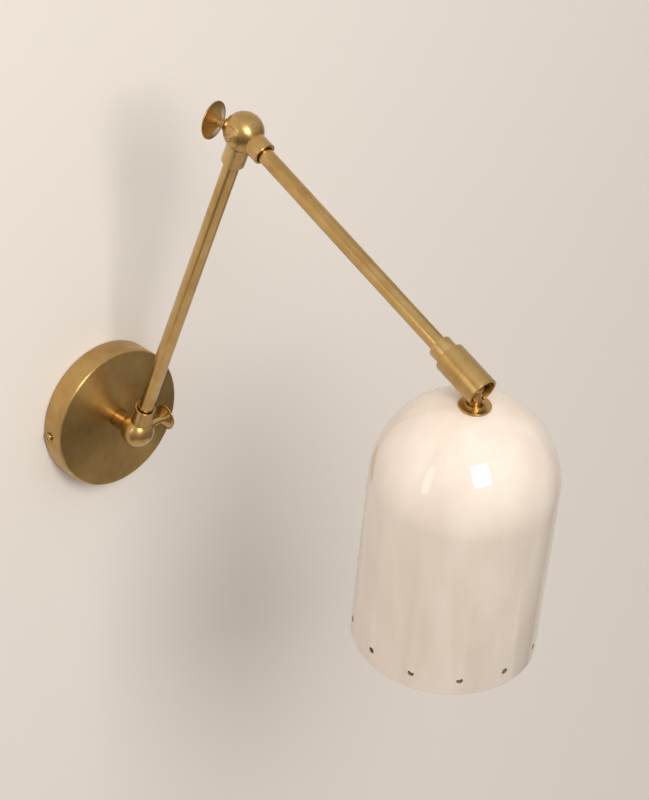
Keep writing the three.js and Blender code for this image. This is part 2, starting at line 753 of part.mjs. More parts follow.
function holder_body() {
  const well = shell_radius + shell_wall + gap;
  const outline = [
    [contact_radius - 1, holder_start],
    [holder_radius, holder_start],
    [holder_radius, holder_end - 1],
    [holder_radius - 1, holder_end],
    [well, holder_end],
    [well, holder_start + holder_floor],
    [contact_radius - 1, holder_start + holder_floor],
  ];
  return turned(outline, 24);
}

// The screw shell, rolled in waves that take the lamp's thread.
function screw_shell() {
  const start = holder_start + holder_floor + gap + 2;
  const waves = 5;
  const steps = waves * 2;
  const outer = [];
  const inner = [];
  for (let step = 0; step <= steps; step += 1) {
    const height = start + shell_length * step / steps;
    const wave = step % 2 ? 0.25 : -0.25;
    outer.push([shell_radius + shell_wall - 0.25 + wave, height]);
    inner.unshift([shell_radius - 0.25 + wave, height]);
  }
  return turned([...outer, ...inner], 20);
}

function centre_contact() {
  const floor = holder_start + holder_floor + gap;
  const outline = [
    [0, floor - holder_floor],
    [contact_radius - 1 - gap, floor - holder_floor],
    [contact_radius - 1 - gap, floor],
    [contact_radius, floor],
    [contact_radius - 0.8, floor + contact_height],
    [0, floor + contact_height],
  ];
  return turned(outline, 24);
}

const shade_group = new THREE.Group();
shade_group.position.y = tilt_pivot;
shade_group.rotation.x = shade_tilt;
shade_group.add(piece('shade_stud', 'brass', shade_stud()));
shade_group.add(piece('shade_flange', 'brass', shade_flange()));
shade_group.add(piece('shade', 'glaze', shade()));
const shade_washer_start = shade_seat + shade_wall + gap;
shade_group.add(piece('shade_washer', 'zinc', tube(
  washer_radius, stud_radius + gap, shade_washer_start, shade_washer_start + washer_thickness)));
shade_group.add(piece('shade_nut', 'zinc', hexagon(shade_nut_across, shade_nut_start,
  shade_nut_start + shade_nut_thickness, stud_radius + gap)));
shade_group.add(piece('holder_cap', 'brass', holder_cap()));
shade_group.add(piece('holder_body', 'porcelain', holder_body()));
shade_group.add(piece('screw_shell', 'brass', screw_shell()));
shade_group.add(piece('centre_contact', 'brass', centre_contact()));
cup.add(shade_group);

const sconce = new THREE.Group();
sconce.add(wall_mount, stem_group, lower_arm);
export default sconce;
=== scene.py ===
# %% [markdown]
# # A swing arm wall sconce, finished in Blender
# The working model of the sconce is loaded as a fixed frame: every part is already in its place, in
# metres, with the wall at y = 0. This lesson builds the finer piece that stands for each part that
# can be seen, gives each its metal, glaze or porcelain, and lights it as a studio would.

# %% Load the frame
import json
from math import acos, asin, atan2, cos, hypot, pi, radians, sin, sqrt, tau

import bmesh
import bpy
import numpy as np
from mathutils import Matrix, Vector


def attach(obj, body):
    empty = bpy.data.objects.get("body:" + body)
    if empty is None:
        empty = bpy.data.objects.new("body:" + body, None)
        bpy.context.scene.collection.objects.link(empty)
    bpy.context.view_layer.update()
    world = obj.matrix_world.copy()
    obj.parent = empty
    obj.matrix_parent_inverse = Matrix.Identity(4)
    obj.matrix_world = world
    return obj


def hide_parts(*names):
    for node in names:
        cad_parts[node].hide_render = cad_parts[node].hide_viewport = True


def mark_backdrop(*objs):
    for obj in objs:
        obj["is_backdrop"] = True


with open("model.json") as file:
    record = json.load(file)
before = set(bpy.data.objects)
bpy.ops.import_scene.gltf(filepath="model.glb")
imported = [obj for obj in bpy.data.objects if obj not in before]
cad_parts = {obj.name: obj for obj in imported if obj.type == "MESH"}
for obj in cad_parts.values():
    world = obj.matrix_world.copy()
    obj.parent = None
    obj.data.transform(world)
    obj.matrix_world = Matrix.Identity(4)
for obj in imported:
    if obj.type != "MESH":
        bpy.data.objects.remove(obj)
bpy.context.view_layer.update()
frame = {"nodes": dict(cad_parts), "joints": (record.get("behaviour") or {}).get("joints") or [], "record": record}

millimetre = 0.001

# %% [markdown]
# ## The camera
# The sconce is looked at from its left and from above, through a long lens, so the two arms keep
# nearly their real proportions. The camera has a place, a turn about the vertical and a rise, and
# its three axes are worked out from the two angles.

# %% Camera
camera_place = Vector((-1.5076, -1.9455, 1.5018))
camera_turn = radians(-42.01)
camera_rise = radians(31.33)
camera_lens = 158.34             # mm
sensor_side = 36                 # mm, along the longer side of the frame

camera_back = Vector((
    sin(camera_turn) * cos(camera_rise),
    -cos(camera_turn) * cos(camera_rise),
    sin(camera_rise),
))
camera_right = Vector((cos(camera_turn), sin(camera_turn), 0))
camera_up = camera_back.cross(camera_right)
camera_data = bpy.data.cameras.new("camera")
camera_data.sensor_width = sensor_side
camera_data.lens = camera_lens
camera = bpy.data.objects.new("camera", camera_data)
turn = Matrix((camera_right, camera_up, camera_back)).transposed().to_4x4()
camera.matrix_world = Matrix.Translation(camera_place) @ turn
bpy.context.scene.collection.objects.link(camera)
bpy.context.scene.camera = camera
print("lens", round(camera_data.lens, 1), "mm")

# %% [markdown]
# ## Where each part of the sconce stands
# Nearly every piece is a turned one, so each body gets a *place*: a matrix whose Z runs along the
# axis it was turned on. The joints of the frame give the centres and the axes.

# %% Places
joints = {joint["name"]: joint for joint in frame["joints"]}
mounts = {mount["name"]: mount for mount in frame["record"]["mounts"]}
sideways = Vector((1, 0, 0))


def place_at(origin, axis, across=sideways):
    """A matrix with Z along axis and X as near to across as it can be."""
    z = Vector(axis).normalized()
    x = (Vector(across) - z * z.dot(across)).normalized()
    matrix = Matrix((x, z.cross(x), z)).transposed().to_4x4()
    return Matrix.Translation(Vector(origin)) @ matrix


wall_pivot = Vector(joints["wall_hinge"]["pos_m"])
elbow_pivot = Vector(joints["elbow_hinge"]["pos_m"])
tilt_pivot = Vector(joints["shade_tilt"]["pos_m"])
upper_axis = Vector(joints["cup_swivel"]["axis"])
pin_axis = Vector(joints["shade_tilt"]["axis"])

wall_place = place_at((0, 0, 0), (0, -1, 0))
stem_place = place_at(wall_pivot, (0, 1, 0))
lower_place = place_at(wall_pivot, elbow_pivot - wall_pivot)
elbow_place = place_at(elbow_pivot, elbow_pivot - wall_pivot)
upper_place = place_at(elbow_pivot, upper_axis)
cup_place = place_at(elbow_pivot, upper_axis, pin_axis)
shade_place = place_at(tilt_pivot, mounts["lamp_contact"]["axis"], pin_axis)
wall_knob_place = place_at(wall_pivot, joints["wall_knob_turn"]["axis"], (0, 0, 1))
elbow_knob_place = place_at(elbow_pivot, joints["elbow_knob_turn"]["axis"])
cap_place = place_at(elbow_pivot, -sideways, (0, 0, 1))
plug_place = place_at(wall_pivot, sideways, (0, 0, 1))


def measure(node, place):
    """Lowest and highest point and largest radius of a node, along the axis of a place."""
    inverse = place.inverted()
    points = [inverse @ vertex.co for vertex in frame["nodes"][node].data.vertices]
    heights = [point.z for point in points]
    return min(heights), max(heights), max(hypot(point.x, point.y) for point in points)


print("arm lengths", round((elbow_pivot - wall_pivot).length, 4),
      round((tilt_pivot - elbow_pivot).length, 4))

# %% [markdown]
# ## Turned pieces
# A lathe makes most of a brass lamp. The outline is a list of corners, each a radius and a height
# and, where the edge was broken or rounded, the radius of that rounding. Every corner that is
# rounded becomes an arc, so edges catch the light as real ones do.

# %% Outlines
def rounded(corners, closed, steps=5):
    """The points of an outline, with an arc at each corner that gives a rounding."""
    points = []
    count = len(corners)
    for index, corner in enumerate(corners):
        here = Vector(corner[:2])
        at_end = not closed and index in (0, count - 1)
        if len(corner) < 3 or at_end:
            points.append(here)
            continue
        before = Vector(corners[index - 1][:2]) - here
        after = Vector(corners[(index + 1) % count][:2]) - here
        angle = before.angle(after)
        reach = min(corner[2] / max(abs(np.tan(angle / 2)), 1e-6),
                    0.49 * before.length, 0.49 * after.length)
        start = here + before.normalized() * reach
        end = here + after.normalized() * reach
        for step in range(steps + 1):
            share = step / steps
            points.append(start.lerp(here, share).lerp(here.lerp(end, share), share))
    return points


def arc(radius, start, end, steps, centre=(0, 0)):
    """Corners on a round stretch of an outline, between two angles from the radius direction."""
    angles = [start + (end - start) * step / steps for step in range(steps + 1)]
    return [(centre[0] + radius * cos(a), centre[1] + radius * sin(a)) for a in angles]


# %% The lathe
def link(name, mesh):
    piece = bpy.data.objects.new(name, mesh)
    bpy.context.scene.collection.objects.link(piece)
    return piece


def tidy_mesh(bm, mesh, crease=28):
    """Closes a bmesh into a mesh with smooth faces, and sharp edges where it really turns."""
    bmesh.ops.remove_doubles(bm, verts=bm.verts, dist=1e-7)
    bmesh.ops.dissolve_degenerate(bm, edges=bm.edges, dist=1e-7)
    bmesh.ops.recalc_face_normals(bm, faces=bm.faces)
    if bm.calc_volume(signed=True) < 0:
        bmesh.ops.reverse_faces(bm, faces=bm.faces)
    bm.to_mesh(mesh)
    bm.free()
    mesh.shade_smooth()
    mesh.set_sharp_from_angle(angle=radians(crease))
    return mesh


def lathe(name, corners, place, sides=96):
    """A piece turned from an outline that starts and ends on the axis, or else closes on itself."""
    closed = corners[0][0] > 0
    outline = rounded(corners, closed)
    bm = bmesh.new()
    rings = []
    for point in outline:
        if point.x < 1e-9:
            rings.append([bm.verts.new((0, 0, point.y))] * sides)
            continue
        rings.append([bm.verts.new((point.x * cos(tau * k / sides), point.x * sin(tau * k / sides), point.y))
                      for k in range(sides)])
    pairs = list(zip(rings, rings[1:])) + ([(rings[-1], rings[0])] if closed else [])
    for low, high in pairs:
        for k in range(sides):
            after = (k + 1) % sides
            face = dict.fromkeys([low[k], low[after], high[after], high[k]])
            if len(face) > 2:
                bm.faces.new(list(face))
    mesh = tidy_mesh(bm, bpy.data.meshes.new(name))
    mesh.transform(place)
    return link(name, mesh)


print("a test outline has", len(rounded([(0, 0), (1, 0, 0.1), (1, 1, 0.1), (0, 1)], False)), "points")

# %% [markdown]
# ## Cutting
# Slots, bores and hollowed ends are cut with other solids by the Boolean modifier, as a mill or a
# drill would cut them. The result is made a plain mesh at once, so nothing is left live on a piece.

# %% Cutters
gap = 0.3 * millimetre            # between fixed pieces that meet
running_gap = 0.4 * millimetre    # between pieces that turn on each other
spigot = 3.2 * millimetre         # radius of the pegs that carry the drums in the balls


def baked(piece):
    """Turns a piece's modifiers into its plain mesh."""
    graph = bpy.context.evaluated_depsgraph_get()
    mesh = bpy.data.meshes.new_from_object(piece.evaluated_get(graph))
    piece.modifiers.clear()
    old, piece.data = piece.data, mesh
    bpy.data.meshes.remove(old)
    return piece


def cut(piece, *cutters, how="DIFFERENCE"):
    """Cuts a piece with other objects, which are used up."""
    for cutter in cutters:
        change = piece.modifiers.new("cut", "BOOLEAN")
        change.operation = how
        change.solver = "EXACT"
        change.object = cutter
    baked(piece)
    for cutter in cutters:
        bpy.data.objects.remove(cutter)
    piece.data.shade_smooth()
    piece.data.set_sharp_from_angle(angle=radians(28))
    return piece


def drill(radius, low, high, place, sides=48):
    return lathe("drill", [(0, low), (radius, low), (radius, high), (0, high)], place, sides)


def sphere(radius, centre, sides=96):
    corners = arc(radius, -pi / 2, pi / 2, sides // 2)
    corners[0], corners[-1] = (0, -radius), (0, radius)
    return lathe("sphere", corners, Matrix.Translation(centre) @ place_at((0, 0, 0), (0, 1, 0)), sides)


def slab(low, high, place):
    """A block between two corners, in a place."""
    bm = bmesh.new()
    bmesh.ops.create_cube(bm, size=1)
    for vertex in bm.verts:
        vertex.co = [low[i] if vertex.co[i] < 0 else high[i] for i in range(3)]
    mesh = bpy.data.meshes.new("slab")
    bm.to_mesh(mesh)
    bm.free()
    mesh.transform(place)
    return link("slab", mesh)


def swing_slot(start, end, place):
    """Cutters for a slot with round ends, for a spigot that swings round a place's X axis."""
    half_width = spigot + running_gap
    reach = 22 * millimetre
    ends = [drill(half_width, 0, reach, place @ Matrix.Rotation(angle, 4, "X")) for angle in (start, end)]
    return [sector(2 * half_width, reach, start, end, place), *ends]


def sector(width, radius, start, end, place, steps=24):
    """A wedge of a disc in the YZ plane of a place, between two angles from Z towards -Y."""
    bm = bmesh.new()
    rim = [(0, 0)] + [(-radius * sin(start + (end - start) * k / steps),
                       radius * cos(start + (end - start) * k / steps)) for k in range(steps + 1)]
    sides = [[bm.verts.new((x, y, z)) for y, z in rim] for x in (-width / 2, width / 2)]
    bm.faces.new(sides[0])
    bm.faces.new(list(reversed(sides[1])))
    for k in range(len(rim)):
        after = (k + 1) % len(rim)
        bm.faces.new([sides[0][after], sides[0][k], sides[1][k], sides[1][after]])
    mesh = tidy_mesh(bm, bpy.data.meshes.new("sector"))
    mesh.transform(place)
    return link("sector", mesh)


# %% [markdown]
# ## Metal needs to know how it was worked
# A brushed or turned metal shines in streaks that lie across its tool marks. Each turned piece
# therefore keeps two things: a vector attribute with each point's own place on the lathe, from
# which the marks are drawn, and a UV map that runs round the axis, which the anisotropic highlight
# follows.

# %% Lathe attributes
def keep_lathe_place(piece, place):
    """Stores every point's place on the lathe, and a UV map that runs round the lathe's axis."""
    mesh = piece.data
    inverse = place.inverted()
    local = [inverse @ vertex.co for vertex in mesh.vertices]
    attribute = mesh.attributes.new("lathe_place", "FLOAT_VECTOR", "POINT")
    attribute.data.foreach_set("vector", [value for point in local for value in point])
    while mesh.uv_layers:
        mesh.uv_layers.remove(mesh.uv_layers[0])
    layer = mesh.uv_layers.new(name="round_the_lathe")
    for face in mesh.polygons:
        turns = [atan2(local[v].y, local[v].x) / tau for v in face.vertices]
        radii = [hypot(local[v].x, local[v].y) for v in face.vertices]
        first = turns[max(range(len(radii)), key=radii.__getitem__)]
        for loop, turn_share, radius, vertex in zip(face.loop_indices, turns, radii, face.vertices):
            near = first if radius < 1e-6 else turn_share + round(first - turn_share)
            layer.data[loop].uv = (near, (radius + local[vertex].z) * 10)
    return piece


# %% [markdown]
# ## Materials
# Colours are written as the hex values a paint or plating chart would give, and one function turns
# them to linear light. One more adds a node with its settings and its links.

# %% Material helpers
def linear(hex_colour):
    """An sRGB hex colour as linear RGBA."""
    channels = [int(hex_colour[i:i + 2], 16) / 255 for i in (1, 3, 5)]
    return [c / 12.92 if c <= 0.04045 else ((c + 0.055) / 1.055) ** 2.4 for c in channels] + [1.0]


def add_node(tree, kind, links=None, **settings):
    """Adds a node. A setting is a property or an input's value; a link names an output socket."""
    node = tree.nodes.new(kind)
    for name, value in settings.items():
        if hasattr(node, name):
            setattr(node, name, value)
        else:
            node.inputs[name.replace("_", " ")].default_value = value
    for name, output in (links or {}).items():
        tree.links.new(output, node.inputs[name])
    return node


def new_material(name):
    """An empty node material with its Principled shader."""
    material = bpy.data.materials.new(name)
    material.use_nodes = True
    tree = material.node_tree
    return material, tree, tree.nodes["Principled BSDF"]


def ramp(tree, factor, stops, name="tones"):
    """A colour ramp through stops of (position, hex colour)."""
    node = add_node(tree, "ShaderNodeValToRGB", {"Fac": factor}, label=name)
    band = node.color_ramp
    band.elements[0].position, band.elements[0].color = stops[0][0], linear(stops[0][1])
    band.elements[1].position, band.elements[1].color = stops[-1][0], linear(stops[-1][1])
    for position, colour in stops[1:-1]:
        band.elements.new(position).color = linear(colour)
    return node.outputs["Color"]


# %% [markdown]
# ### Satin brass
# The lamp is solid brass, brushed and then left to age a little under a thin clear lacquer. On
# turned parts the brush ran round the axis, and on tubes it ran along them. Fresh brass is a pale
# yellow metal; where it has aged it goes browner and a little rougher. Brush marks are about
# 0.05 mm wide, too fine to show with the whole lamp in view, so they are drawn at 0.25 mm, and the
# streaked highlight that the real marks give comes from the shader's anisotropy.

# %% Satin brass
brush_width = 0.25 * millimetre
tarnish_size = 28 * millimetre


def satin_brass(name, lengthwise, anisotropy, roughness):
    material, tree, shader = new_material(name)
    place = add_node(tree, "ShaderNodeAttribute", attribute_name="lathe_place").outputs["Vector"]
    parts = add_node(tree, "ShaderNodeSeparateXYZ", {"Vector": place})
    flat = add_node(tree, "ShaderNodeVectorMath", {0: place}, operation="MULTIPLY")
    flat.inputs[1].default_value = (1, 1, 0)
    radius = add_node(tree, "ShaderNodeVectorMath", {0: flat.outputs[0]}, operation="LENGTH").outputs["Value"]
    if lengthwise:
        # Marks along the tube: fine across it, and 60 times longer along it.
        marks = add_node(tree, "ShaderNodeVectorMath", {0: place}, operation="MULTIPLY")
        marks.inputs[1].default_value = (1 / brush_width, 1 / brush_width, 1 / (60 * brush_width))
        marks = marks.outputs[0]
    else:
        # Marks round the axis: they change with the radius and the height only.
        marks = add_node(tree, "ShaderNodeCombineXYZ", {"X": radius, "Y": parts.outputs["Z"]})
        marks = add_node(tree, "ShaderNodeVectorMath", {0: marks.outputs[0]}, operation="SCALE",
                         Scale=1 / brush_width).outputs[0]
    brush = add_node(tree, "ShaderNodeTexNoise", {"Vector": marks}, Scale=1, Detail=2)
    cloud = add_node(tree, "ShaderNodeTexNoise", {"Vector": place}, Scale=1 / tarnish_size,
                     Detail=4, Roughness=0.6)
    tone = add_node(tree, "ShaderNodeMix", {2: cloud.outputs["Fac"], 3: brush.outputs["Fac"]},
                    data_type="FLOAT")
    tone.inputs[0].default_value = 0.35
    colour = ramp(tree, tone.outputs[0], [
        (0.32, "#a5824a"), (0.45, "#b9965a"), (0.58, "#c6a56a"), (0.72, "#d3b57f")])
    tree.links.new(colour, shader.inputs["Base Color"])
    worn = add_node(tree, "ShaderNodeMapRange", {0: tone.outputs[0]})
    worn.inputs["From Min"].default_value = 0.3
    worn.inputs["From Max"].default_value = 0.7
    worn.inputs["To Min"].default_value = roughness + 0.07
    worn.inputs["To Max"].default_value = roughness - 0.05
    tree.links.new(worn.outputs[0], shader.inputs["Roughness"])
    bump = add_node(tree, "ShaderNodeBump", {"Height": brush.outputs["Fac"]},
                    Strength=0.12, Distance=0.02 * millimetre)
    tree.links.new(bump.outputs["Normal"], shader.inputs["Normal"])
    tangent = add_node(tree, "ShaderNodeTangent", direction_type="UV_MAP", uv_map="round_the_lathe")
    tree.links.new(tangent.outputs["Tangent"], shader.inputs["Tangent"])
    shader.inputs["Metallic"].default_value = 1
    shader.inputs["Anisotropic"].default_value = anisotropy
    # A highlight spreads across the marks: along the axis of turned work, and round a drawn tube.
    shader.inputs["Anisotropic Rotation"].default_value = 0 if lengthwise else 0.25
    shader.inputs["Coat Weight"].default_value = 0.25
    shader.inputs["Coat Roughness"].default_value = 0.15
    return material


turned_brass = satin_brass("satin_brass_turned", False, 0.5, 0.3)
spun_brass = satin_brass("satin_brass_spun_dish", False, 0.85, 0.36)
drawn_brass = satin_brass("satin_brass_drawn_tube", True, 0.35, 0.24)
print("brass:", turned_brass.name, spun_brass.name, drawn_brass.name)

# %% [markdown]
# ### Ivory glaze
# The shade is slip-cast stoneware, 3.5 mm thick, under a gloss glaze in warm ivory. A glaze is clear
# glass over a coloured body: a smooth coat over a softer base gives the sharp window reflection on
# top of a quiet body colour. It pools a little as it is fired, so the tone drifts over a few
# centimetres, runs slightly down the shade, and a slow ripple bends the reflection. The faces inside
# the shell are painted a dark grey-brown as painted shade for the dim inside, which makes the vents
# read as dark dots. An attribute called "inside" marks those faces.

# %% Ivory glaze
def gloss_skin(name, colours, inside, coat_roughness):
    material, tree, shader = new_material(name)
    place = add_node(tree, "ShaderNodeTexCoord").outputs["Object"]
    pooled = add_node(tree, "ShaderNodeMapping", {"Vector": place})
    pooled.inputs["Scale"].default_value = (1, 1, 0.3)
    tone = add_node(tree, "ShaderNodeTexNoise", {"Vector": pooled.outputs[0]},
                    Scale=1 / (30 * millimetre), Detail=3)
    colour = ramp(tree, tone.outputs["Fac"], [(0.35, colours[0]), (0.65, colours[1])])
    # Faces marked as inside take a dark colour instead: painted shade for the dim inside of the shell.
    inner = add_node(tree, "ShaderNodeAttribute", attribute_name="inside").outputs["Fac"]
    sides = add_node(tree, "ShaderNodeMix", {0: inner, 6: colour}, data_type="RGBA")
    sides.inputs[7].default_value = linear(inside)
    tree.links.new(sides.outputs[2], shader.inputs["Base Color"])
    ripple = add_node(tree, "ShaderNodeTexNoise", {"Vector": pooled.outputs[0]},
                      Scale=1 / (24 * millimetre), Detail=1)
    bump = add_node(tree, "ShaderNodeBump", {"Height": ripple.outputs["Fac"]},
                    Strength=0.3, Distance=0.25 * millimetre)
    tree.links.new(bump.outputs["Normal"], shader.inputs["Normal"])
    shader.inputs["Roughness"].default_value = 0.5
    shader.inputs["Specular IOR Level"].default_value = 0.1
    shader.inputs["Coat Weight"].default_value = 1
    shader.inputs["Coat Roughness"].default_value = coat_roughness
    return material


# The third colour is painted shade, a dark grey-brown for the inside of the shell.
ivory_glaze = gloss_skin("ivory_stoneware_glaze", ("#dfd1c3", "#e8dccf"), "#8a8071", 0.04)
ground_lacquer = gloss_skin("green_screw_lacquer", ("#2a7044", "#348351"), "#2a7044", 0.15)
print("glaze and lacquer:", ivory_glaze.name, ground_lacquer.name)

# %% [markdown]
# ### Plated steel, porcelain and cable
# Nuts, washers and the wall plate are zinc plated steel: a cool grey metal, a little cloudy from
# the plating bath. The lampholder is glazed porcelain, white and faintly uneven. The wires wear a
# woven cotton sleeve.

# %% Plated steel, porcelain and cable
def cloudy(name, colours, size, **values):
    """A material whose colour drifts between tones over a size, with its shader values."""
    material, tree, shader = new_material(name)
    place = add_node(tree, "ShaderNodeTexCoord").outputs["Object"]
    tone = add_node(tree, "ShaderNodeTexNoise", {"Vector": place}, Scale=1 / size, Detail=5, Roughness=0.6)
    tree.links.new(ramp(tree, tone.outputs["Fac"], [(0.35, colours[0]), (0.65, colours[1])]),
                   shader.inputs["Base Color"])
    bump = add_node(tree, "ShaderNodeBump", {"Height": tone.outputs["Fac"]},
                    Strength=0.15, Distance=0.05 * millimetre)
    tree.links.new(bump.outputs["Normal"], shader.inputs["Normal"])
    for socket, value in values.items():
        shader.inputs[socket.replace("_", " ")].default_value = value
    return material


plated_steel = cloudy("zinc_plated_steel", ("#9a9c9b", "#b9bbb8"), 6 * millimetre, Metallic=1, Roughness=0.42)
porcelain = cloudy("glazed_porcelain", ("#ebe6da", "#f2eee4"), 12 * millimetre,
                   Roughness=0.25, Coat_Weight=0.6, Coat_Roughness=0.05)
cable_sleeve = cloudy("cotton_cable_sleeve", ("#d8d0bd", "#e5dece"), 0.8 * millimetre, Roughness=0.85)
raw_brass = cloudy("raw_brass", ("#b8975a", "#cbad74"), 5 * millimetre, Metallic=1, Roughness=0.3)
print("other finishes:", plated_steel.name, porcelain.name, cable_sleeve.name, raw_brass.name)


# %% Finishing a piece
def finish_piece(piece, material, body, slot, *nodes, lathe_place=None):
    """Gives a piece its material and its body, and hides the parts it stands for. The slot is not used."""
    if lathe_place is not None:
        keep_lathe_place(piece, lathe_place)
    piece.data.materials.clear()
    piece.data.materials.append(material)
    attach(piece, body)
    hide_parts(*nodes)
    print(piece.name, "has", len(piece.data.polygons), "faces")
    return piece


def brass_piece(piece, body, place, *nodes, material=None):
    return finish_piece(piece, material or turned_brass, body, "satin_brass", *nodes, lathe_place=place)


# %% [markdown]
# ## The canopy
# The canopy is a shallow dish, spun from 1.5 mm sheet and turned bright on its front edge. A small
# flanged bush fills its middle, and the stem turns in it with a hair of clearance, which is the
# dark ring round the stem. Two holes are drilled through the rim for the side screws.

# %% Canopy and bush
sheet = 1.5 * millimetre
canopy_back, canopy_front, canopy_radius = measure("canopy", wall_place)
bush_back, bush_front, bush_flange = measure("stem_bush", wall_place)
bush_hole = 5.6 * millimetre
bush_radius = bush_hole + 1.8 * millimetre
canopy_hole = bush_radius + 0.3 * millimetre
edge = 2.2 * millimetre
canopy = lathe("canopy_shell", [
    (canopy_radius, canopy_back, 0.3 * millimetre),
    (canopy_radius, canopy_front, edge),
    (canopy_hole, canopy_front, 0.2 * millimetre),
    (canopy_hole, canopy_front - sheet),
    (canopy_radius - sheet, canopy_front - sheet, edge - sheet),
    (canopy_radius - sheet, canopy_back, 0.3 * millimetre),
], wall_place, 192)
side_screw_depth = 6.5 * millimetre
side_place = wall_place @ Matrix.Translation((0, 0, side_screw_depth))
side_hole = place_at(side_place.translation, sideways, (0, 0, 1))
screw_hole = 2.2 * millimetre
cut(canopy, drill(screw_hole, -2 * canopy_radius, 2 * canopy_radius, side_hole))
brass_piece(canopy, "wall_mount", wall_place, "canopy", material=spun_brass)
bush = lathe("stem_bush_ring", [
    (bush_hole, bush_back),
    (bush_flange, bush_back, 0.3 * millimetre),
    (bush_flange, canopy_front - sheet - 0.3 * millimetre, 0.3 * millimetre),
    (bush_radius, canopy_front - sheet - 0.3 * millimetre),
    (bush_radius, bush_front, 0.3 * millimetre),
    (bush_hole, bush_front, 0.3 * millimetre),
], wall_place)
brass_piece(bush, "wall_mount", wall_place, "stem_bush")

# %% Fasteners that stay as they are
for node, material in (
        ("wall_plate", plated_steel), ("stem_washer", plated_steel), ("stem_nut", plated_steel),
        ("swivel_nipple", plated_steel), ("nipple_nut", plated_steel), ("tilt_pin", plated_steel),
        ("shade_washer", plated_steel), ("shade_nut", plated_steel), ("ground_screw", ground_lacquer),
        ("lower_wire", cable_sleeve), ("upper_wire", cable_sleeve)):
    mesh = frame["nodes"][node].data
    mesh.materials.clear()
    mesh.materials.append(material)
print("carried-over parts have their finishes")

# %% [markdown]
# ## The stem and the lower ball joint
# The stem comes out of the canopy and is hollowed at its end to sit against the ball. The ball is
# turned solid, then bored from the side for the drum it turns on, and slotted at the back where the
# stem's spigot reaches the drum. Its collar carries the lower tube in an open lip.

# %% Stem
blind_wall = 4.6 * millimetre     # ball left standing at the closed end of its bore
_, stem_end, stem_radius = measure("stem", stem_place)
wall_ball_radius = 13.75 * millimetre
stem_front = wall_pivot.length - canopy_front - gap
shaft = bush_hole - running_gap
stem = lathe("stem_neck", [
    (0, 4 * millimetre),
    (stem_radius, 4 * millimetre),
    (stem_radius, stem_front, 0.5 * millimetre),
    (shaft, stem_front),
    (shaft, stem_end, 0.5 * millimetre),
    (0, stem_end),
], stem_place)
cut(stem, sphere(wall_ball_radius + running_gap, wall_pivot))
cut(stem, drill(spigot, 3.6 * millimetre, 18 * millimetre, stem_place), how="UNION")
brass_piece(stem, "stem", stem_place, "stem")

wall_core_radius = measure("wall_core", plug_place)[2]
lower_axis_angle = acos(Vector((0, -1, 0)).dot((elbow_pivot - wall_pivot).normalized()))
wall_ball = sphere(wall_ball_radius, wall_pivot, 128)
wall_ball.name = "wall_ball_turned"
bore = wall_core_radius + running_gap
low, high = (radians(x) for x in joints["wall_hinge"]["range_deg"])
cut(wall_ball, drill(bore, blind_wall - wall_ball_radius, 20 * millimetre, plug_place),
    *swing_slot(lower_axis_angle - pi - high, lower_axis_angle - pi - low, lower_place),
    drill(spigot + gap, 0, 20 * millimetre, lower_place))
brass_piece(wall_ball, "lower_arm", lower_place, "wall_ball")

# %% [markdown]
# The plug that closes the ball is a slice of the same sphere, so only a hair-thin ring shows where
# it was screwed in.

# %% Domed plugs
def domed_plug(name, ball_radius, radius, thickness, hole, recess, place, rings=()):
    """A disc with the ball's own curve on its face. Rings are fine grooves at given radii."""
    def crown(at):
        return sqrt(ball_radius ** 2 - at ** 2)
    floor = crown(radius) - thickness
    corners = [(hole, floor), (radius, floor, 0.2 * millimetre), (radius, crown(radius), 0.15 * millimetre)]
    stops = sorted({radius * k / 12 for k in range(12)}, reverse=True)
    groove = 0.12 * millimetre
    inner = recess[0] if recess else hole
    for at in stops:
        if at > inner + groove:
            corners.append((at, crown(at)))
    for at in rings:
        corners += [(at + groove, crown(at + groove)), (at, crown(at) - 0.6 * groove),
                    (at - groove, crown(at - groove))]
    face = sorted(corners[3:], key=lambda corner: -corner[0])
    corners = corners[:3] + face + [(inner, crown(inner), 0.1 * millimetre)]
    if recess:
        corners += [(inner, crown(0) - recess[1]), (hole, crown(0) - recess[1])]
    return lathe(name, corners, place, 128)


plug_low = measure("wall_ball_plug", plug_place)[0]
plug_radius = bore - gap
knob_hole = 2.6 * millimetre
wall_plug = domed_plug("wall_ball_cover", wall_ball_radius, plug_radius,
                       sqrt(wall_ball_radius ** 2 - plug_radius ** 2) - plug_low, knob_hole, None, plug_place)
brass_piece(wall_plug, "lower_arm", plug_place, "wall_ball_plug")

# %% [markdown]
# ## Thumb knobs
# Each ball is clamped by a knob like a trumpet's bell: a short neck with a step where it meets the
# ball, a hollow flare, and a thin rim with a slightly domed face.

# %% Thumb knobs
def thumb_knob(name, node, place, ball_radius, neck):
    start, reach, radius = measure(node, place)
    face = reach - 0.4 * millimetre
    seat = ball_radius + gap
    step = neck * 1.35
    rim = 1.0 * millimetre
    cone = 5.2 * millimetre
    low = face - rim - cone
    corners = [(0, start), (2.3 * millimetre, start, 0.3 * millimetre), (2.3 * millimetre, seat),
               (step, seat, 0.3 * millimetre), (step, seat + 1.2 * millimetre, 0.5 * millimetre),
               (neck, seat + 2 * millimetre, 0.6 * millimetre), (neck, low)]
    flare_steps = 14
    for k in range(1, flare_steps):
        share = k / flare_steps
        corners.append((neck + (radius - neck) * share, low + cone * (1 - (1 - share) ** 1.6)))
    corners += [(radius, low + cone, 0.35 * millimetre), (radius, face, 0.5 * millimetre)]
    crown = 0.4 * millimetre      # how far the knob's face rises in its middle
    dish = [(radius * share, face + crown * (1 - share ** 2)) for share in (0.9, 0.7, 0.5, 0.3, 0.1)]
    return lathe(name, corners + dish + [(0, reach)], place, 128)


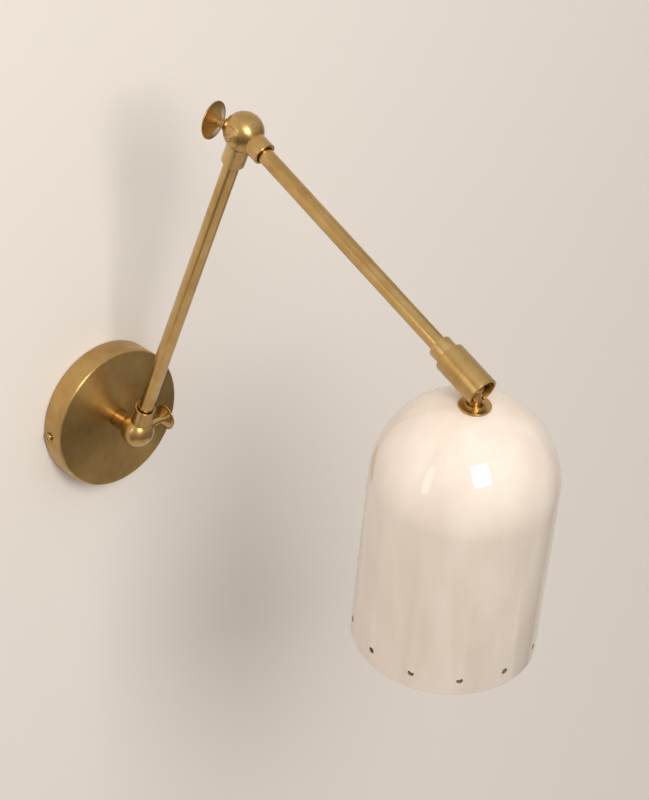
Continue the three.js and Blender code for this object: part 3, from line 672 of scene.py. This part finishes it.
elbow_ball_radius = 15.5 * millimetre
wall_knob_neck = 3 * millimetre
elbow_knob_neck = 3.6 * millimetre
wall_knob = thumb_knob("wall_thumb_knob", "wall_knob", wall_knob_place, wall_ball_radius, wall_knob_neck)
brass_piece(wall_knob, "wall_knob", wall_knob_place, "wall_knob")
elbow_knob = thumb_knob(
    "elbow_thumb_knob", "elbow_knob", elbow_knob_place, elbow_ball_radius, elbow_knob_neck)
brass_piece(elbow_knob, "elbow_knob", elbow_knob_place, "elbow_knob")

# %% [markdown]
# ## The lower arm
# A socket with a hollowed foot holds the tube's lower end: its mouth is opened a little, so a dark
# ring stands between the lip and the tube. At the top the tube goes flush into the collar that
# rides on the elbow ball.

# %% Lower arm
lip = 0.9 * millimetre
lip_depth = 2.2 * millimetre
socket_depth = 9 * millimetre
_, socket_end, socket_radius = measure("lower_socket", lower_place)
tube_start, tube_end, tube_radius = measure("lower_tube", lower_place)
wire_bore = 2.2 * millimetre
lower_socket = lathe("lower_tube_socket", [
    (wire_bore, 5 * millimetre),
    (socket_radius, 5 * millimetre),
    (socket_radius, socket_end, 0.5 * millimetre),
    (tube_radius + lip, socket_end, 0.25 * millimetre),
    (tube_radius + lip, socket_end - lip_depth),
    (tube_radius + gap, socket_end - lip_depth),
    (tube_radius + gap, socket_end - socket_depth),
    (wire_bore, socket_end - socket_depth),
], lower_place)
cut(lower_socket, sphere(wall_ball_radius + gap, wall_pivot))
brass_piece(lower_socket, "lower_arm", lower_place, "lower_socket")


def tube_piece(name, start, end, radius, place):
    wall = 1.0 * millimetre
    return lathe(name, [(radius - wall, start), (radius, start, 0.2 * millimetre),
                        (radius, end, 0.2 * millimetre), (radius - wall, end)], place, 128)


lower_tube = tube_piece("lower_arm_tube", tube_start, tube_end, tube_radius, lower_place)
brass_piece(lower_tube, "lower_arm", lower_place, "lower_tube", material=drawn_brass)

saddle_start, _, saddle_radius = measure("elbow_saddle", elbow_place)
saddle_seat = measure("lower_tube", elbow_place)[1] + gap
saddle = lathe("elbow_saddle_collar", [
    (wire_bore, saddle_seat),
    (tube_radius + gap, saddle_seat),
    (tube_radius + gap, saddle_start, 0.2 * millimetre),
    (saddle_radius, saddle_start, 0.7 * millimetre),
    (saddle_radius, -4 * millimetre),
    (wire_bore, -4 * millimetre),
], elbow_place)
cut(saddle, sphere(elbow_ball_radius + running_gap, elbow_pivot))
cut(saddle, drill(spigot, -19 * millimetre, -4.4 * millimetre, elbow_place), how="UNION")
brass_piece(saddle, "lower_arm", elbow_place, "elbow_saddle")

for node in ("wall_core", "elbow_core"):
    mesh = frame["nodes"][node].data
    mesh.materials.clear()
    mesh.materials.append(raw_brass)

# %% [markdown]
# ## The elbow
# The elbow ball and the upper arm's socket are one turned piece. On the ball's side a domed cap
# holds the pivot screw: the lathe left fine rings on it.

# %% Elbow ball
_, upper_socket_end, _ = measure("elbow_ball", upper_place)
upper_socket_radius = 9.2 * millimetre
meet = asin(upper_socket_radius / elbow_ball_radius)
seam = 0.12 * millimetre
ball_arc = arc(elbow_ball_radius, -pi / 2, pi / 2 - meet - 0.012, 56)
ball_arc[0] = (0, -elbow_ball_radius)
junction = elbow_ball_radius * cos(meet)
elbow_ball = lathe("elbow_ball_and_socket", ball_arc + [
    (upper_socket_radius - seam, junction + seam),
    (upper_socket_radius, junction + 3 * seam),
    (upper_socket_radius, upper_socket_end, 0.5 * millimetre),
    (tube_radius + lip, upper_socket_end, 0.25 * millimetre),
    (tube_radius + lip, upper_socket_end - lip_depth),
    (tube_radius + gap, upper_socket_end - lip_depth),
    (tube_radius + gap, upper_socket_end - socket_depth),
    (wire_bore, upper_socket_end - socket_depth),
    (wire_bore, 4 * millimetre),
    (0, 4 * millimetre),
], upper_place, 128)
elbow_core_radius = measure("elbow_core", cap_place)[2]
elbow_bore = elbow_core_radius + running_gap
arm_angle = acos((wall_pivot - elbow_pivot).normalized().dot(upper_axis))
low, high = (radians(x) for x in joints["elbow_hinge"]["range_deg"])
cut(elbow_ball, drill(elbow_bore, blind_wall - elbow_ball_radius, 20 * millimetre, cap_place),
    *swing_slot(arm_angle - high, arm_angle - low, upper_place),
    drill(knob_hole, 0, 20 * millimetre, elbow_knob_place))
brass_piece(elbow_ball, "upper_arm", upper_place, "elbow_ball")

# %% Elbow cap
cap_low = measure("elbow_cap", cap_place)[0]
cap_radius = elbow_bore - gap
recess_radius = 3.2 * millimetre
recess_depth = 1.6 * millimetre
elbow_cap = domed_plug("elbow_cap_domed", elbow_ball_radius, cap_radius,
                       sqrt(elbow_ball_radius ** 2 - cap_radius ** 2) - cap_low, 1.9 * millimetre,
                       (recess_radius, recess_depth), cap_place,
                       rings=[r * millimetre for r in (4.2, 5.4, 6.6)])
brass_piece(elbow_cap, "upper_arm", cap_place, "elbow_cap")

# %% [markdown]
# ## The upper arm and the swivel cup
# The upper tube ends in a small collar, and the cup turns against it. The cup is a plain sleeve with
# a soft shoulder and a thin bright mouth. A slot runs in from the mouth, on the side the shade hangs,
# so that the stud can swing square to the arm.

# %% Upper arm
upper_start, upper_end, upper_radius = measure("upper_tube", upper_place)
upper_tube = tube_piece("upper_arm_tube", upper_start, upper_end, upper_radius, upper_place)
brass_piece(upper_tube, "upper_arm", upper_place, "upper_tube", material=drawn_brass)
collar_start, collar_end, collar_radius = measure("end_collar", upper_place)
end_collar = lathe("end_collar_turned", [
    (5.05 * millimetre, collar_end),
    (5.05 * millimetre, upper_end + gap),
    (upper_radius + gap, upper_end + gap),
    (upper_radius + gap, collar_start, 0.2 * millimetre),
    (collar_radius, collar_start, 1 * millimetre),
    (collar_radius, collar_end, 0.5 * millimetre),
], upper_place)
brass_piece(end_collar, "upper_arm", upper_place, "end_collar")

# %% Swivel cup
cup_start, cup_mouth, cup_radius = measure("swivel_cup", cup_place)
cup_wall = 1.8 * millimetre
cup_floor = cup_start + 4 * millimetre
pivot_height = (tilt_pivot - elbow_pivot).length
pin_reach = cup_radius - 0.9 * millimetre
stud_slot = 4.7 * millimetre
swivel_cup = lathe("swivel_cup_sleeve", [
    (5.15 * millimetre, cup_floor),
    (5.15 * millimetre, cup_start),
    (cup_radius, cup_start, 1.5 * millimetre),
    (cup_radius, cup_mouth, 0.4 * millimetre),
    (cup_radius - cup_wall, cup_mouth, 0.3 * millimetre),
    (cup_radius - cup_wall, cup_floor),
], cup_place, 128)
down_side = cup_place.inverted().to_3x3() @ shade_place.col[2].to_3d()
slot_place = cup_place @ Matrix.Translation((0, 0, pivot_height))
slot_way = 1 if down_side.y > 0 else -1
ends = sorted((0, slot_way * 20 * millimetre))
round_end = place_at(slot_place.translation, cup_place.col[1].to_3d() * slot_way, pin_axis)
cut(swivel_cup,
    slab((-stud_slot, ends[0], 0), (stud_slot, ends[1], 20 * millimetre), slot_place),
    drill(stud_slot, 0, 20 * millimetre, round_end),
    drill(1.8 * millimetre, -pin_reach, pin_reach, place_at(tilt_pivot, pin_axis, (0, 1, 0))))
brass_piece(swivel_cup, "swivel_cup", cup_place, "swivel_cup")

# %% [markdown]
# ## The shade's stud and flange
# The stud tapers from its eye down to a stepped flange that sits on the crown of the shade.

# %% Stud and flange
_, stud_end, _ = measure("shade_stud", shade_place)
flange_top, flange_bottom, flange_radius = measure("shade_flange", shade_place)
eye = 5 * millimetre
stud_radius = 4.3 * millimetre
stud_top = 3.4 * millimetre
neck_height = sqrt(eye ** 2 - stud_top ** 2)
eye_arc = arc(eye, -pi / 2, asin(neck_height / eye), 20)
eye_arc[0] = (0, -eye)
stud = lathe("shade_stud_tapered", eye_arc + [
    (stud_radius, flange_top - 1 * millimetre),
    (stud_radius, stud_end, 0.5 * millimetre),
    (0, stud_end),
], shade_place, 64)
cut(stud, drill(1.9 * millimetre, -9 * millimetre, 9 * millimetre, place_at(tilt_pivot, pin_axis, (0, 1, 0))))
brass_piece(stud, "shade", shade_place, "shade_stud")

step_height = 1.8 * millimetre
step_radius = 7.6 * millimetre
flange = lathe("shade_flange_stepped", [
    (stud_radius + gap, flange_top, 0.2 * millimetre),
    (step_radius, flange_top, 0.7 * millimetre),
    (step_radius, flange_top + step_height, 0.3 * millimetre),
    (flange_radius, flange_top + step_height, 0.6 * millimetre),
    (flange_radius, flange_bottom, 0.3 * millimetre),
    (stud_radius + gap, flange_bottom),
], shade_place)
brass_piece(flange, "shade", shade_place, "shade_flange")

# %% [markdown]
# ## The shade and its vents
# The shade is a hemisphere on a straight wall, cast in one piece. Twelve vents near the rim repeat
# round the axis, so a node tree drills them: it puts a drill at every point of a circle, turns each
# one outwards, and subtracts them all from the shell.

# %% Shade shell
crown_height, rim_height, shade_radius = measure("shade", shade_place)
shade_wall = 3.5 * millimetre
flat_radius = 14 * millimetre
dome_centre = crown_height + sqrt(shade_radius ** 2 - flat_radius ** 2)
inner_radius = shade_radius - shade_wall
crown_angle = asin(flat_radius / shade_radius)
inner_crown = acos((dome_centre - crown_height - shade_wall) / inner_radius)
shade = lathe("shade_shell", [
    (stud_radius + gap, crown_height),
    *arc(shade_radius, crown_angle - pi / 2, 0, 48, (0, dome_centre)),
    (shade_radius, rim_height, 1.2 * millimetre),
    (inner_radius, rim_height, 1.2 * millimetre),
    *arc(inner_radius, 0, inner_crown - pi / 2, 48, (0, dome_centre)),
    (stud_radius + gap, crown_height + shade_wall),
], Matrix.Identity(4), 192)
print("shade", round(2000 * shade_radius), "mm across,", round(1000 * (rim_height - crown_height)), "mm tall")


# %% A node tree of drills
def node_group(name, inputs):
    """A geometry node group with a geometry input and output and named number inputs."""
    group = bpy.data.node_groups.new(name, "GeometryNodeTree")
    group.interface.new_socket("Geometry", in_out="INPUT", socket_type="NodeSocketGeometry")
    group.interface.new_socket("Geometry", in_out="OUTPUT", socket_type="NodeSocketGeometry")
    for label, kind in inputs:
        group.interface.new_socket(label, in_out="INPUT", socket_type=kind)
    return group, group.nodes.new("NodeGroupInput").outputs, group.nodes.new("NodeGroupOutput").inputs


def run_nodes(piece, group, values):
    """Runs a geometry node group on a piece with its named inputs, and keeps the plain mesh."""
    change = piece.modifiers.new(group.name, "NODES")
    change.node_group = group
    for item in group.interface.items_tree:
        if item.in_out == "INPUT" and item.name in values:
            change[item.identifier] = values[item.name]
    return baked(piece)


vents, given, result = node_group("ring_of_vents", [
    ("Count", "NodeSocketInt"), ("Vent Radius", "NodeSocketFloat"), ("Ring Radius", "NodeSocketFloat"),
    ("Ring Height", "NodeSocketFloat"), ("Phase", "NodeSocketFloat"), ("Finish", "NodeSocketMaterial"),
])
circle = add_node(vents, "GeometryNodeMeshCircle", {
    "Vertices": given["Count"], "Radius": given["Ring Radius"]})
tool = add_node(vents, "GeometryNodeMeshCylinder", {"Radius": given["Vent Radius"]}, Vertices=40,
                Depth=20 * millimetre)
where = add_node(vents, "GeometryNodeInputPosition")
facing = add_node(vents, "FunctionNodeAlignRotationToVector", {"Vector": where.outputs[0]}, axis="Z")
drills = add_node(vents, "GeometryNodeInstanceOnPoints", {
    "Points": circle.outputs["Mesh"], "Instance": tool.outputs["Mesh"], "Rotation": facing.outputs[0]})
lift = add_node(vents, "ShaderNodeCombineXYZ", {"Z": given["Ring Height"]})
spin = add_node(vents, "ShaderNodeCombineXYZ", {"Z": given["Phase"]})
set_up = add_node(vents, "GeometryNodeTransform", {
    "Geometry": drills.outputs[0], "Translation": lift.outputs[0], "Rotation": spin.outputs[0]})
real = add_node(vents, "GeometryNodeRealizeInstances", {0: set_up.outputs[0]})
drilled = add_node(vents, "GeometryNodeMeshBoolean", {"Mesh 1": given["Geometry"], "Mesh 2": real.outputs[0]},
                   operation="DIFFERENCE", solver="EXACT")
painted = add_node(vents, "GeometryNodeSetMaterial", {
    "Geometry": drilled.outputs["Mesh"], "Material": given["Finish"]})
vents.links.new(painted.outputs[0], result[0])

# %% Drill the vents
vent_height = 14.2 * millimetre
vent_phase = radians(4.4)
run_nodes(shade, vents, {
    "Count": 12,
    "Vent Radius": 2.5 * millimetre,
    "Ring Radius": shade_radius,
    "Ring Height": rim_height - vent_height,
    "Phase": vent_phase,
    "Finish": ivory_glaze,
})
shade.data.shade_smooth()
shade.data.set_sharp_from_angle(angle=radians(28))
# Faces inside the shell are marked for painted shade: they take the dark inside colour, so the vents show dark.
painted_shade_faces = shade.data.attributes.new("inside", "FLOAT", "FACE")
for face in shade.data.polygons:
    x, y, z = face.center
    depth = hypot(x, y, min(0, z - dome_centre))
    in_crown = z < crown_height + 0.2 * shade_wall
    painted_shade_faces.data[face.index].value = float(depth < inner_radius + 0.9 * shade_wall and not in_crown)
shade.data.transform(shade_place)
finish_piece(shade, ivory_glaze, "shade", "ivory_glaze", "shade")

# %% [markdown]
# ## The lampholder
# Inside the shade hangs a porcelain lampholder under a spun brass cap, with a rolled screw shell for
# a 26 mm lamp. The shell's thread is a true helix on the real thing; here it is rolled rings, which
# look the same from below.

# %% Lampholder
cap_top, cap_end, holder_cap_radius = measure("holder_cap", shade_place)
body_top, body_end, holder_radius = measure("holder_body", shade_place)
shell_top, shell_end, _ = measure("screw_shell", shade_place)
contact_top, contact_end, _ = measure("centre_contact", shade_place)
cap_wall = 1.2 * millimetre
cap_round = 6 * millimetre
holder_cap = lathe("holder_cap_spun", [
    (stud_radius + gap, cap_top),
    (holder_cap_radius, cap_top, cap_round),
    (holder_cap_radius, cap_end, 0.4 * millimetre),
    (holder_cap_radius - cap_wall, cap_end),
    (holder_cap_radius - cap_wall, cap_top + cap_wall, cap_round - cap_wall),
    (stud_radius + gap, cap_top + cap_wall),
], shade_place)
brass_piece(holder_cap, "shade", shade_place, "holder_cap")

shell_radius = 13.7 * millimetre
shell_wall = 0.6 * millimetre
well = shell_radius + shell_wall + gap
holder_floor = 7 * millimetre
contact_hole = 3.5 * millimetre
holder = lathe("holder_porcelain", [
    (contact_hole, body_top),
    (holder_radius, body_top, 1 * millimetre),
    (holder_radius, body_end, 1.6 * millimetre),
    (well, body_end, 1 * millimetre),
    (well, body_top + holder_floor),
    (contact_hole, body_top + holder_floor),
], shade_place)
finish_piece(holder, porcelain, "shade", "white_porcelain", "holder_body")

thread_pitch = 3.63 * millimetre
thread_wave = 0.25 * millimetre
thread_steps = 72
heights = [shell_top + (shell_end - shell_top) * k / thread_steps for k in range(thread_steps + 1)]
waves = [thread_wave * sin(tau * (h - shell_top) / thread_pitch) for h in heights]
outer = [(shell_radius + shell_wall - thread_wave + w, h) for w, h in zip(waves, heights)]
inner = [(r - shell_wall, h) for r, h in reversed(outer)]
screw_shell = lathe("screw_shell_rolled", outer + inner, shade_place, 64)
finish_piece(screw_shell, raw_brass, "shade", "satin_brass", "screw_shell")
contact_radius = 4.5 * millimetre
contact = lathe("centre_contact_domed", [
    (0, contact_top),
    (contact_hole - gap, contact_top),
    (contact_hole - gap, contact_top + holder_floor),
    (contact_radius, contact_top + holder_floor, 0.3 * millimetre),
    (contact_radius, contact_end - 0.9 * millimetre, 0.6 * millimetre),
    (contact_radius - 1.4 * millimetre, contact_end, 0.8 * millimetre),
    (0, contact_end),
], shade_place, 64)
finish_piece(contact, raw_brass, "shade", "satin_brass", "centre_contact")

# %% [markdown]
# ## Slotted screws
# Two screws hold the canopy to its plate and one pins the elbow. They are the same turned screw at
# different sizes, so one node tree sets a screw at each point of a line, each with its head facing
# away from the line's middle.

# %% One screw
def slotted_screw(radius, head_radius, head_height, length):
    slot_width = 0.45 * head_height
    screw = lathe("screw", [
        (0, -length),
        (radius, -length, 0.3 * millimetre),
        (radius, 0),
        (head_radius, 0, 0.15 * millimetre),
        (head_radius, 0.75 * head_height, 0.5 * head_height),
        (0.5 * head_radius, head_height),
        (0, 1.04 * head_height),
    ], Matrix.Identity(4), 48)
    return cut(screw, slab((-slot_width / 2, -2 * head_radius, 0.6 * head_height),
                           (slot_width / 2, 2 * head_radius, 2 * head_height), Matrix.Identity(4)))


# %% A node tree of screws
screws, given, result = node_group("screws_on_a_line", [
    ("Start", "NodeSocketVector"), ("End", "NodeSocketVector"), ("Count", "NodeSocketInt"),
    ("Slot Turn", "NodeSocketFloat"), ("Finish", "NodeSocketMaterial"),
])
line = add_node(screws, "GeometryNodeMeshLine", {
    "Count": given["Count"], "Start Location": given["Start"], "Offset": given["End"]}, mode="END_POINTS")
where = add_node(screws, "GeometryNodeInputPosition")
facing = add_node(screws, "FunctionNodeAlignRotationToVector", {"Vector": where.outputs[0]}, axis="Z")
twist = add_node(screws, "ShaderNodeCombineXYZ", {"Z": given["Slot Turn"]})
turned_slot = add_node(screws, "FunctionNodeRotateRotation", {
    "Rotation": facing.outputs[0], "Rotate By": twist.outputs[0]}, rotation_space="LOCAL")
placed = add_node(screws, "GeometryNodeInstanceOnPoints", {
    "Points": line.outputs["Mesh"], "Instance": given["Geometry"], "Rotation": turned_slot.outputs[0]})
real = add_node(screws, "GeometryNodeRealizeInstances", {0: placed.outputs[0]})
plated = add_node(screws, "GeometryNodeSetMaterial", {
    "Geometry": real.outputs[0], "Material": given["Finish"]})
screws.links.new(plated.outputs[0], result[0])


def set_screws(name, screw, start, end, count, slot_turn, place):
    run_nodes(screw, screws, {
        "Start": start, "End": end, "Count": count, "Slot Turn": slot_turn, "Finish": turned_brass})
    screw.name = name
    screw.data.shade_smooth()
    screw.data.set_sharp_from_angle(angle=radians(28))
    screw.data.transform(place)
    return screw


# %% Canopy screws and pivot screw
side_seat = canopy_radius + gap
canopy_screws = set_screws(
    "canopy_screws", slotted_screw(1.9 * millimetre, 3.8 * millimetre, 1.9 * millimetre, 9 * millimetre),
    (-side_seat, 0, 0), (side_seat, 0, 0), 2, radians(35), side_place)
brass_piece(canopy_screws, "wall_mount", side_place, "canopy_screw_left", "canopy_screw_right")
screw_seat = elbow_ball_radius - recess_depth + gap
pivot_screw = set_screws(
    "elbow_pivot_screw", slotted_screw(1.6 * millimetre, 2.9 * millimetre, 1.28 * millimetre, 8 * millimetre),
    (0, 0, screw_seat), (0, 0, screw_seat), 1, radians(20), cap_place)
brass_piece(pivot_screw, "upper_arm", cap_place, "pivot_screw")

# %% [markdown]
# ## The stage
# A plain plastered wall stands behind the sconce and a pale floor lies well below it. The wall lets
# light and sight through from behind, so the back of the sconce can be looked at too.

# %% Wall and floor
def plain_plaster(name, hex_colour, see_through_back):
    material, tree, shader = new_material(name)
    shader.inputs["Base Color"].default_value = linear(hex_colour)
    shader.inputs["Roughness"].default_value = 0.9
    if see_through_back:
        side = add_node(tree, "ShaderNodeNewGeometry")
        clear = add_node(tree, "ShaderNodeBsdfTransparent")
        mix = add_node(tree, "ShaderNodeMixShader", {
            0: side.outputs["Backfacing"], 1: shader.outputs[0], 2: clear.outputs[0]})
        tree.links.new(mix.outputs[0], tree.nodes["Material Output"].inputs["Surface"])
    return material


def stage_plane(name, corners, material):
    mesh = bpy.data.meshes.new(name)
    mesh.from_pydata(corners, [], [(0, 1, 2, 3)])
    mesh.materials.append(material)
    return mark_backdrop(link(name, mesh))


wall_gap = 0.5 * millimetre
reach = 4
floor_height = -1.8
floor_reach = 1.5
stage_plane("wall", [(-reach, wall_gap, floor_height), (reach, wall_gap, floor_height),
                     (reach, wall_gap, reach), (-reach, wall_gap, reach)],
            plain_plaster("wall_plaster", "#efe9e2", True))
stage_plane("floor", [(-floor_reach, -floor_reach, floor_height), (floor_reach, -floor_reach, floor_height),
                      (floor_reach, floor_reach, floor_height), (-floor_reach, floor_reach, floor_height)],
            plain_plaster("pale_floor", "#e6e1da", False))
print("stage: wall and floor")

# %% [markdown]
# ## Light
# One large softbox stands in front, a little left and high: it gives the highlight on the shade and
# its soft shadow on the wall. A narrow one at the left draws the bright streak along the tubes. The
# room is otherwise a warm white that darkens below, so that polished metal has something dark to
# mirror.

# %% Softboxes and room
def softbox(name, place, target, width, height, power, hex_colour="#fffaf6"):
    light = bpy.data.lights.new(name, "AREA")
    light.shape = "RECTANGLE"
    light.size = width
    light.size_y = height
    light.energy = power
    light.color = linear(hex_colour)[:3]
    lamp = bpy.data.objects.new(name, light)
    aim = (Vector(target) - Vector(place)).to_track_quat("-Z", "Y")
    lamp.matrix_world = Matrix.Translation(Vector(place)) @ aim.to_matrix().to_4x4()
    bpy.context.scene.collection.objects.link(lamp)
    return lamp


shade_middle = tilt_pivot + shade_place.col[2].to_3d() * 0.5 * rim_height
key_direction = Vector((-0.28, -0.75, 0.6)).normalized()
key_distance = 2.2
key_width, key_height, key_watts = 0.8, 0.95, 34
softbox("key_softbox", shade_middle + key_direction * key_distance, shade_middle,
        key_width, key_height, key_watts)
strip_place = Vector((-1.8, -0.35, 0.9))
strip_width, strip_height, strip_watts = 0.3, 1.1, 3
softbox("side_strip", strip_place, (elbow_pivot + tilt_pivot) / 2,
        strip_width, strip_height, strip_watts)

world = bpy.data.worlds.new("room")
world.use_nodes = True
room = world.node_tree
way = add_node(room, "ShaderNodeTexCoord").outputs["Generated"]
split = add_node(room, "ShaderNodeSeparateXYZ", {"Vector": way})
room_tone = add_node(room, "ShaderNodeMapRange", {0: split.outputs["Z"]})
room_tone.inputs["From Min"].default_value = -1
room_colour = ramp(room, room_tone.outputs[0], [
    (0, "#6f6861"), (0.42, "#9d9790"), (0.6, "#d3cec9"), (1, "#fffdfb")])
room.links.new(room_colour, room.nodes["Background"].inputs["Color"])
room.nodes["Background"].inputs["Strength"].default_value = 0.88
bpy.context.scene.world = world
bpy.context.scene.view_settings.view_transform = "Standard"
